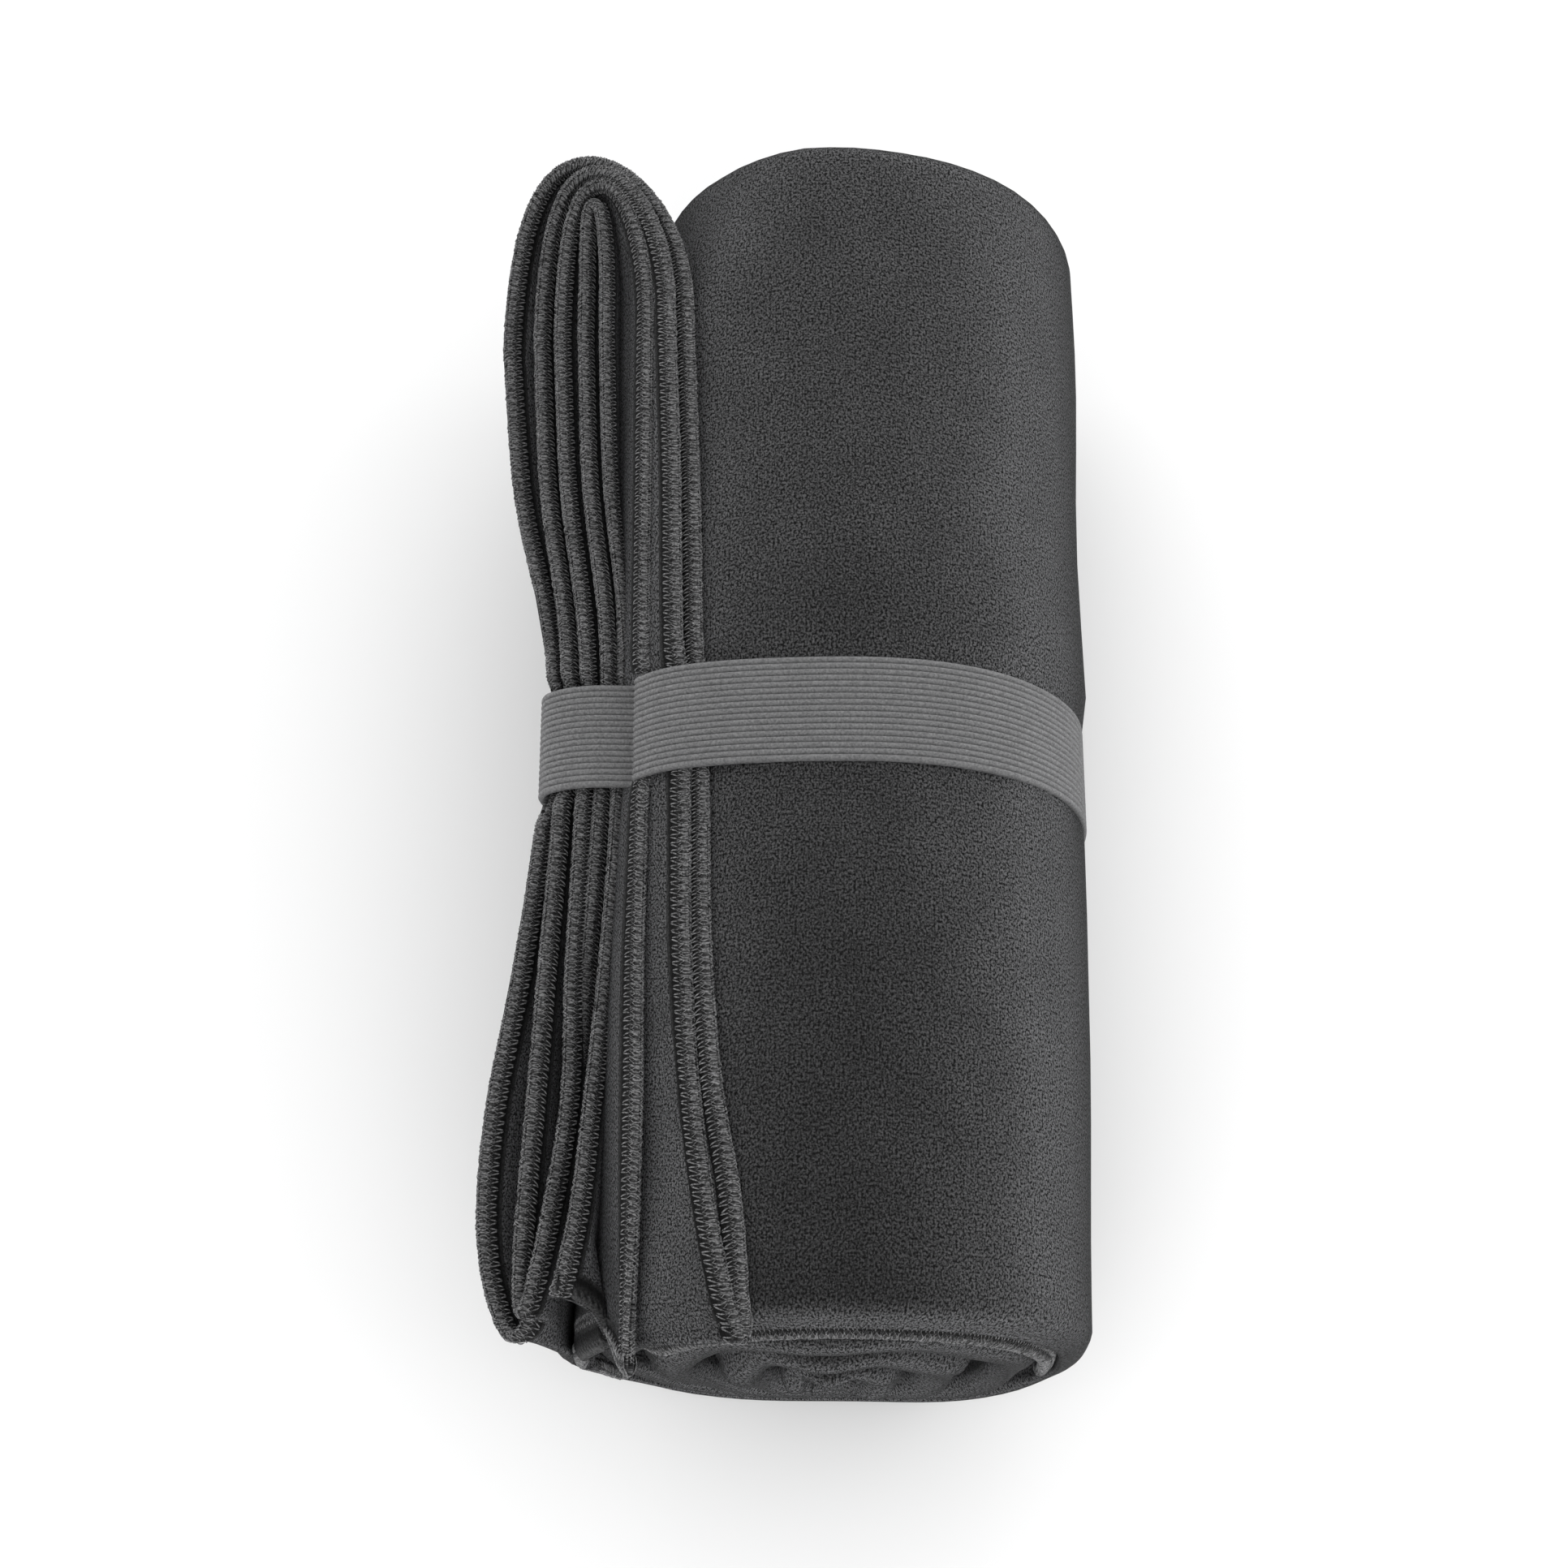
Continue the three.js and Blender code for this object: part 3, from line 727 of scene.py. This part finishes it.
def knot_threads(path, along):
    """Looped threads that cross round the very edge, pushed apart at each needle hole."""
    noise = np.random.default_rng(13)
    shapes = []
    t = np.linspace(0, 1, 7)
    for start, slant in KNOT_PLACES:
        turn = math.pi * (t - 0.5)
        depth = KNOT_DEPTH - (KNOT_DEPTH + 0.08) * np.cos(turn) + noise.normal(0, 0.07, (len(along), 1))
        wobble = noise.normal(0, 0.06, (len(along), 1))
        share = start + slant * np.sin(2 * math.pi * t) + wobble
        off = share - 0.5
        near_hole = np.exp(-((depth - HOLE_DEPTH) ** 2) / 0.25 - off * off / 0.08)
        place = along[:, None] + STITCH * (share + 0.27 * np.sign(off) * near_hole)
        height = 1.16 * np.sin(turn) + 0.06 * np.sin(12 * turn + wobble * 30)
        centres = path.at(place, depth, height)
        outward = path.at(place, depth - 0.1 * np.cos(turn), height + 0.1 * np.sin(turn))
        sides = HemPath.unit(outward - centres)
        shapes.append(swept_threads(centres, sides, KNOT_HALF, KNOT_HALF))
    return shapes


def joined(shapes):
    """One list of vertices and faces from many."""
    vertices, faces, count = [], [], 0
    for points, quads in shapes:
        vertices.append(points)
        faces.append(quads + count)
        count += len(points)
    return np.concatenate(vertices), np.concatenate(faces)


def hem_core(path, first, last):
    """The puffy edge between two places along a hem, with painted shade between the threads and at the
    needle holes.
    """
    along = np.arange(first, last, STITCH / 2)
    depth = np.array(SECTION_DEPTH + SECTION_DEPTH[-2::-1])
    side = np.array(SECTION_SIDE + [-value for value in SECTION_SIDE[-2::-1]])
    swell = 1 + 0.05 * np.sin(2 * math.pi * along / STITCH)[:, None]
    points = path.at(along[:, None] + 0 * depth, depth[None, :] + 0 * along[:, None], side * swell)
    # Painted shade between the threads, and at the needle holes of every second row, carried in the UV's
    # second coordinate
    dark = np.array(SECTION_PAINTED_SHADE + SECTION_PAINTED_SHADE[-2::-1])[None, :] + 0 * along[:, None]
    dark[1::2, SHADED_HOLE_ROW] = 1.0
    dark[1::2, -1 - SHADED_HOLE_ROW] = 1.0
    uv = np.stack([along[:, None] * MM + 0 * depth, dark], axis=-1)
    faces = grid_faces(points.shape[0], points.shape[1])
    return points.reshape(-1, 3), faces, uv.reshape(-1, 2)


def dress(piece, material, node):
    """Material of a piece and the part it rides on; the node argument is not used."""
    piece.data.materials.append(material)
    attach(piece, "root")


def make_hems(core_material, thread_material):
    """All hems: a puffy edge for each, and its threads in one or more lengths, each length its own piece.
    All hems, in lengths short enough for one piece each.
    """
    long_hem, side_hems = hem_paths()
    paths = [("long_hem", long_hem, 5)]
    paths += [(f"side_hem_{i + 1}", path, 1) for i, path in enumerate(side_hems)]
    plain = {"side_hem_1": SIDE_PLAIN}
    for name, path, lengths in paths:
        cuts = STITCH * np.round(np.linspace(0, path.length / STITCH - 1, lengths + 1))
        points, faces, uv = hem_core(path, 0, path.length)
        core = new_object(f"{name}_core", to_frame(points), faces, uv)
        dress(core, core_material, "towel")
        for i in range(lengths):
            along = np.arange(max(cuts[i], plain.get(name, 0)), cuts[i + 1] - STITCH / 2, STITCH)
            shapes = ladder_threads(path, along, 1) + ladder_threads(path, along, -1)
            shapes += knot_threads(path, along)
            points, faces = joined(shapes)
            threads = new_object(f"{name}_threads_{i + 1}", to_frame(points), faces)
            dress(threads, thread_material, "towel")


# The band's steps round the roll, its ribs, and its length round the roll in metres
BAND_STEPS = 400
RIBS = 17
RIB_STEPS = 5
RIB_HEIGHT = 0.55


def band_outline(inset):
    """Closed outline of the band in x and z, moved inward."""
    dense = np.linspace(0, 360, BAND_STEPS, endpoint=False)
    radius = smooth_value(BAND_ANGLE, BAND_RADIUS, dense)
    x = AXIS_X + radius * np.cos(np.radians(dense))
    z = np.maximum(0, AXIS_Z + radius * np.sin(np.radians(dense)))
    ahead = np.stack([np.roll(x, -1) - np.roll(x, 1), np.roll(z, -1) - np.roll(z, 1)])
    ahead = ahead / np.linalg.norm(ahead, axis=0)
    return x - ahead[1] * inset, z + ahead[0] * inset


def make_band():
    """The elastic band: a closed loop with raised ribs along it."""
    across = np.linspace(-BAND_WIDTH / 2, BAND_WIDTH / 2, RIBS * RIB_STEPS + 1)
    rib = np.abs(np.sin(np.pi * RIBS * (across / BAND_WIDTH + 0.5)))
    inset = RIB_HEIGHT * (1 - rib ** 0.6)
    profile = [(y, value) for y, value in zip(across, inset)]
    profile += [(BAND_WIDTH / 2, BAND_THICK), (-BAND_WIDTH / 2, BAND_THICK)]
    rings = []
    for y, value in profile:
        x, z = band_outline(value)
        rings.append(np.stack([x, np.full_like(x, y + BAND_MIDDLE), z], axis=-1))
    rings.append(rings[0])
    grid = np.stack(rings, axis=1)
    # The UV's second coordinate carries painted shade for the rib grooves, 0 on the rib tops and 1 at the
    # groove bottoms
    depth = np.array([value / RIB_HEIGHT for y, value in profile] + [profile[0][1] / RIB_HEIGHT])
    depth = np.where(depth > 1, 0.5, depth)
    along = np.arange(grid.shape[0])[:, None] + 0 * depth
    uv = np.stack([along / grid.shape[0], 0 * along + depth], axis=-1).reshape(-1, 2)
    faces = grid_faces(grid.shape[0], grid.shape[1], closed=True)
    band = new_object("elastic_band", to_frame(grid.reshape(-1, 3)), faces, uv)
    mesh = band.data
    shape = bmesh.new()
    shape.from_mesh(mesh)
    bmesh.ops.remove_doubles(shape, verts=shape.verts, dist=1e-7)
    bmesh.ops.recalc_face_normals(shape, faces=shape.faces)
    shape.to_mesh(mesh)
    shape.free()
    return band


def plain_material(name, colour, rough):
    """Plain painted surface."""
    material = bpy.data.materials.new(name)
    material.use_nodes = True
    shader = material.node_tree.nodes["Principled BSDF"]
    shader.inputs["Base Color"].default_value = (*colour, 1)
    shader.inputs["Roughness"].default_value = rough
    return material


class Wiring:
    """Short way to place nodes in a tree and join them."""

    def __init__(self, tree):
        self.tree = tree

    def node(self, kind, values=None, **settings):
        made = self.tree.nodes.new(kind)
        for key, value in settings.items():
            setattr(made, key, value)
        for key, value in (values or {}).items():
            if isinstance(value, bpy.types.NodeSocket):
                self.tree.links.new(value, made.inputs[key])
            else:
                made.inputs[key].default_value = value
        return made

    def maths(self, operation, first, second=0.0, clamp=False):
        values = {0: first, 1: second}
        return self.node("ShaderNodeMath", values, operation=operation, use_clamp=clamp).outputs[0]

    def mixed(self, factor, first, second):
        node = self.node("ShaderNodeMix", data_type="RGBA")
        for index, value in ((0, factor), (6, first), (7, second)):
            if isinstance(value, bpy.types.NodeSocket):
                self.tree.links.new(value, node.inputs[index])
            else:
                node.inputs[index].default_value = value
        return node.outputs[2]


def effect_group(name, inputs, outputs):
    """Empty shared effect with named inputs and outputs."""
    tree = bpy.data.node_groups.new(name, "ShaderNodeTree")
    for label, kind, value in inputs:
        socket = tree.interface.new_socket(label, in_out="INPUT", socket_type=kind)
        if value is not None:
            socket.default_value = value
    for label, kind in outputs:
        tree.interface.new_socket(label, in_out="OUTPUT", socket_type=kind)
    wiring = Wiring(tree)
    return tree, wiring, wiring.node("NodeGroupInput").outputs, wiring.node("NodeGroupOutput")


def knit_group():
    """Brushed knit: columns of small loops, each with a bright tip and a dark gap: painted highlight on
    the tip and painted shade in the gap, over random tufts.
    """
    tree, w, given, result = effect_group(
        "brushed_knit",
        [
            ("Place", "NodeSocketVector", None),
            ("Column Width", "NodeSocketFloat", 0.00042),
            ("Loop Length", "NodeSocketFloat", 0.00053),
            ("Unevenness", "NodeSocketFloat", 0.75),
        ],
        [("Fibre And Glint", "NodeSocketFloat"), ("Mottle", "NodeSocketFloat")],
    )
    parts = w.node("ShaderNodeSeparateXYZ", {0: given["Place"]}).outputs
    length = w.maths("DIVIDE", parts["X"], given["Loop Length"])
    column = w.maths("DIVIDE", parts["Y"], given["Column Width"])
    cell = w.node("ShaderNodeCombineXYZ", {"X": length, "Y": column}).outputs[0]
    loops = w.node(
        "ShaderNodeTexVoronoi",
        {"Vector": cell, "Scale": 1.0, "Randomness": given["Unevenness"]},
        voronoi_dimensions="2D",
        feature="F1",
    ).outputs["Distance"]
    tufts = w.node(
        "ShaderNodeTexNoise",
        {"Vector": cell, "Scale": 1.1, "Detail": 3.0, "Roughness": 0.8},
        noise_dimensions="2D",
    ).outputs[0]
    # Painted highlight on the loop tips and painted shade in the gaps between them, with random tufts of
    # tone
    tips = w.maths("MULTIPLY", w.maths("SUBTRACT", 0.45, loops), 0.9)
    spread = w.maths("MULTIPLY", w.maths("SUBTRACT", tufts, 0.5), 4.2)
    total = w.maths("ADD", w.maths("ADD", tips, spread), 0.36, clamp=True)
    w.tree.links.new(total, result.inputs["Fibre And Glint"])
    wide = w.node(
        "ShaderNodeTexNoise",
        {"Vector": given["Place"], "Scale": 90.0, "Detail": 3.0, "Roughness": 0.6},
        noise_dimensions="3D",
    ).outputs[0]
    w.tree.links.new(wide, result.inputs["Mottle"])
    return tree


def fibre_group():
    """Short fibres on a thread: a grain of bright hairs between dark ones, partly random tone and partly
    painted glints.
    """
    tree, w, given, result = effect_group(
        "thread_fibres",
        [("Place", "NodeSocketVector", None), ("Grain", "NodeSocketFloat", 0.00042)],
        [("Fibre And Glint", "NodeSocketFloat"), ("Mottle", "NodeSocketFloat")],
    )
    fine = w.maths("DIVIDE", 1.0, given["Grain"])
    noise = w.node(
        "ShaderNodeTexNoise",
        {"Vector": given["Place"], "Scale": fine, "Detail": 2.0, "Roughness": 0.65},
        noise_dimensions="3D",
    ).outputs[0]
    # Random tone of the hairs, with the brightest painted as glints
    spread = w.maths("MULTIPLY", w.maths("SUBTRACT", noise, 0.5), 2.6)
    w.tree.links.new(w.maths("ADD", spread, 0.5, clamp=True), result.inputs["Fibre And Glint"])
    wide = w.node(
        "ShaderNodeTexNoise",
        {"Vector": given["Place"], "Scale": 120.0, "Detail": 2.0, "Roughness": 0.6},
        noise_dimensions="3D",
    ).outputs[0]
    w.tree.links.new(wide, result.inputs["Mottle"])
    return tree


def painted_pile_sheen(w, painted_sheen_stops):
    """Painted sheen and shade of the standing nap: brightness painted into the colour by viewing angle,
    least where it is seen straight on, more at a slant, less again edge-on.
    """
    facing = w.node("ShaderNodeLayerWeight", {"Blend": 0.5}).outputs["Facing"]
    ramp = w.node("ShaderNodeValToRGB", {0: facing})
    stops = ramp.color_ramp.elements
    while len(stops) < len(painted_sheen_stops):
        stops.new(1.0)
    for stop, (place, tone) in zip(stops, painted_sheen_stops):
        stop.position = place
        stop.color = (tone, tone, tone, 1)
    return ramp.outputs[0]


def soft_cloth(name, effect, look):
    """Cloth material: a shared effect picks between dark and light fibres and lifts them; painted sheen
    by viewing angle and, where asked, painted shade in recesses are put into the colour.
    """
    material = bpy.data.materials.new(name)
    material.use_nodes = True
    w = Wiring(material.node_tree)
    shader = material.node_tree.nodes["Principled BSDF"]
    uv = w.node("ShaderNodeUVMap", uv_map="UVMap").outputs[0]
    where = w.node("ShaderNodeTexCoord").outputs["Object"]
    made = w.node("ShaderNodeGroup", {}, node_tree=effect)
    material.node_tree.links.new(uv if look["on_cloth"] else where, made.inputs["Place"])
    fibre_and_glint = made.outputs["Fibre And Glint"]
    colour = w.mixed(fibre_and_glint, (*look["dark"], 1), (*look["light"], 1))
    uneven = w.node(
        "ShaderNodeMapRange",
        {"Value": made.outputs["Mottle"], "From Min": 0.3, "From Max": 0.7},
    ).outputs[0]
    uneven = w.maths("ADD", w.maths("MULTIPLY", uneven, look["mottle"]), 1 - look["mottle"] / 2)
    # Painted sheen and shade: colour lighter where the cloth is seen at a slant, darker straight on and
    # edge-on
    painted_sheen_tone = painted_pile_sheen(w, look["painted_sheen_stops"])
    shade = w.maths("MULTIPLY", uneven, painted_sheen_tone)
    # Painted shade in recesses: the band's rib grooves and the hem edge between its threads, read from
    # the UV's second coordinate
    if look["painted_groove_shade"]:
        depth = w.node("ShaderNodeSeparateXYZ", {0: uv}).outputs["Y"]
        lost = w.maths("MULTIPLY", depth, look["painted_groove_shade"])
        shade = w.maths("MULTIPLY", shade, w.maths("SUBTRACT", 1.0, lost))
    shaded = w.maths("MULTIPLY", shade, look["strength"])
    colour = w.node("ShaderNodeHueSaturation", {"Color": colour, "Value": shaded}).outputs[0]
    material.node_tree.links.new(colour, shader.inputs["Base Color"])
    lift = w.node(
        "ShaderNodeBump", {"Height": fibre_and_glint, "Strength": look["bump"], "Distance": 0.0003}
    ).outputs[0]
    material.node_tree.links.new(lift, shader.inputs["Normal"])
    sheen = w.maths("MULTIPLY", w.maths("ADD", fibre_and_glint, 0.04), look["sheen"])
    # The sheen lobe is scaled by the same painted sheen tone
    sheen = w.maths("MULTIPLY", sheen, painted_sheen_tone)
    material.node_tree.links.new(sheen, shader.inputs["Sheen Weight"])
    shader.inputs["Roughness"].default_value = 0.85
    shader.inputs["Specular IOR Level"].default_value = 0.15
    shader.inputs["Sheen Roughness"].default_value = 0.35
    shader.inputs["Sheen Tint"].default_value = (0.75, 0.76, 0.8, 1)
    return material


# Camera, read from the photograph: 59 mm lens, 21 degrees from straight down
CAMERA_Y = -180.9
CAMERA_Z = 517.0
CAMERA_TILT = 21.0
FRAME_PIXELS = 1932
FOCAL_PIXELS = 3170
SENSOR = 36.0


def make_camera():
    """Camera at the photograph's viewing angle."""
    data = bpy.data.cameras.new("camera")
    data.sensor_width = SENSOR
    data.lens = SENSOR * FOCAL_PIXELS / FRAME_PIXELS
    data.clip_start = 0.01
    camera = bpy.data.objects.new("camera", data)
    camera.location = to_frame([0, CAMERA_Y, CAMERA_Z])
    camera.rotation_euler = (math.radians(CAMERA_TILT), 0, 0)
    bpy.context.scene.collection.objects.link(camera)
    bpy.context.scene.camera = camera


LAMPS = [
    ("far_overhead", (0.0, 0.75, 1.1), (-34, 0, 0), (1.2, 0.8), 1.6),
    ("right_side", (1.2, 0.0, 0.75), (0, 58, 0), (0.6, 1.2), 2.7),
    ("near_fill", (0.0, -1.1, 0.9), (50, 0, 0), (1.6, 0.8), 4.4),
]


def make_stage():
    """Pale floor and soft light from above."""
    size = 3.0
    corners = np.array([[-size, -size, 0], [size, -size, 0], [size, size, 0], [-size, size, 0]])
    floor = new_object("floor", corners, np.array([[0, 1, 2, 3]]))
    floor.data.materials.append(plain_material("floor_paint", (0.92, 0.92, 0.92), 0.9))
    world = bpy.data.worlds.new("studio")
    bpy.context.scene.world = world
    world.use_nodes = True
    background = world.node_tree.nodes["Background"]
    background.inputs["Color"].default_value = (1, 1, 1, 1)
    background.inputs["Strength"].default_value = 1.07
    for name, place, tilt, size, power in LAMPS:
        light = bpy.data.lights.new(name, "AREA")
        light.shape = "RECTANGLE"
        light.size, light.size_y = size
        light.energy = power
        lamp = bpy.data.objects.new(name, light)
        lamp.location = place
        lamp.rotation_euler = [math.radians(angle) for angle in tilt]
        bpy.context.scene.collection.objects.link(lamp)
    bpy.context.scene.view_settings.view_transform = "Standard"


# Painted sheen of the cloth: how much the cloth faces away from the viewer, and the brightness painted
# into its colour there, standing in for sheen and shade
PILE_PAINTED_SHEEN = [(0.0, 0.29), (0.14, 0.61), (0.36, 0.86), (0.6, 0.7), (0.85, 0.24)]
MILD_PAINTED_SHEEN = [(0.0, 0.68), (0.14, 0.76), (0.36, 0.92), (0.6, 0.96), (0.85, 0.78)]
KNIT_LOOK = {
    "dark": (0.001, 0.001, 0.0011), "light": (0.12, 0.12, 0.1225), "sheen": 0.55, "bump": 0.6,
    "painted_sheen_stops": PILE_PAINTED_SHEEN, "strength": 1.3, "painted_groove_shade": 0.0, "mottle": 0.28, "on_cloth": True,
}
BAND_LOOK = {
    "dark": (0.1, 0.1, 0.1015), "light": (0.2, 0.2, 0.2025), "sheen": 0.2, "bump": 0.3,
    "painted_sheen_stops": MILD_PAINTED_SHEEN, "strength": 1.32, "painted_groove_shade": 0.34, "mottle": 0.06, "on_cloth": False,
}
CORE_LOOK = {
    "dark": (0.014, 0.014, 0.0141), "light": (0.08, 0.08, 0.081), "sheen": 0.1, "bump": 0.5,
    "painted_sheen_stops": MILD_PAINTED_SHEEN, "strength": 1.2, "painted_groove_shade": 0.93, "mottle": 0.2, "on_cloth": False,
}
THREAD_LOOK = {
    "dark": (0.013, 0.013, 0.0135), "light": (0.28, 0.28, 0.283), "sheen": 0.35, "bump": 0.4,
    "painted_sheen_stops": MILD_PAINTED_SHEEN, "strength": 1.28, "painted_groove_shade": 0.0, "mottle": 0.2, "on_cloth": False,
}

towel = make_towel()
knit = knit_group()
fibres = fibre_group()
towel.data.materials.append(soft_cloth("microfiber", knit, KNIT_LOOK))
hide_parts("towel")
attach(towel, "root")

band = make_band()
band.data.materials.append(soft_cloth("elastic", fibres, BAND_LOOK))
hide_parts("band")
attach(band, "root")

make_hems(soft_cloth("hem_cloth", fibres, CORE_LOOK), soft_cloth("hem_thread", fibres, THREAD_LOOK))
make_camera()
make_stage()
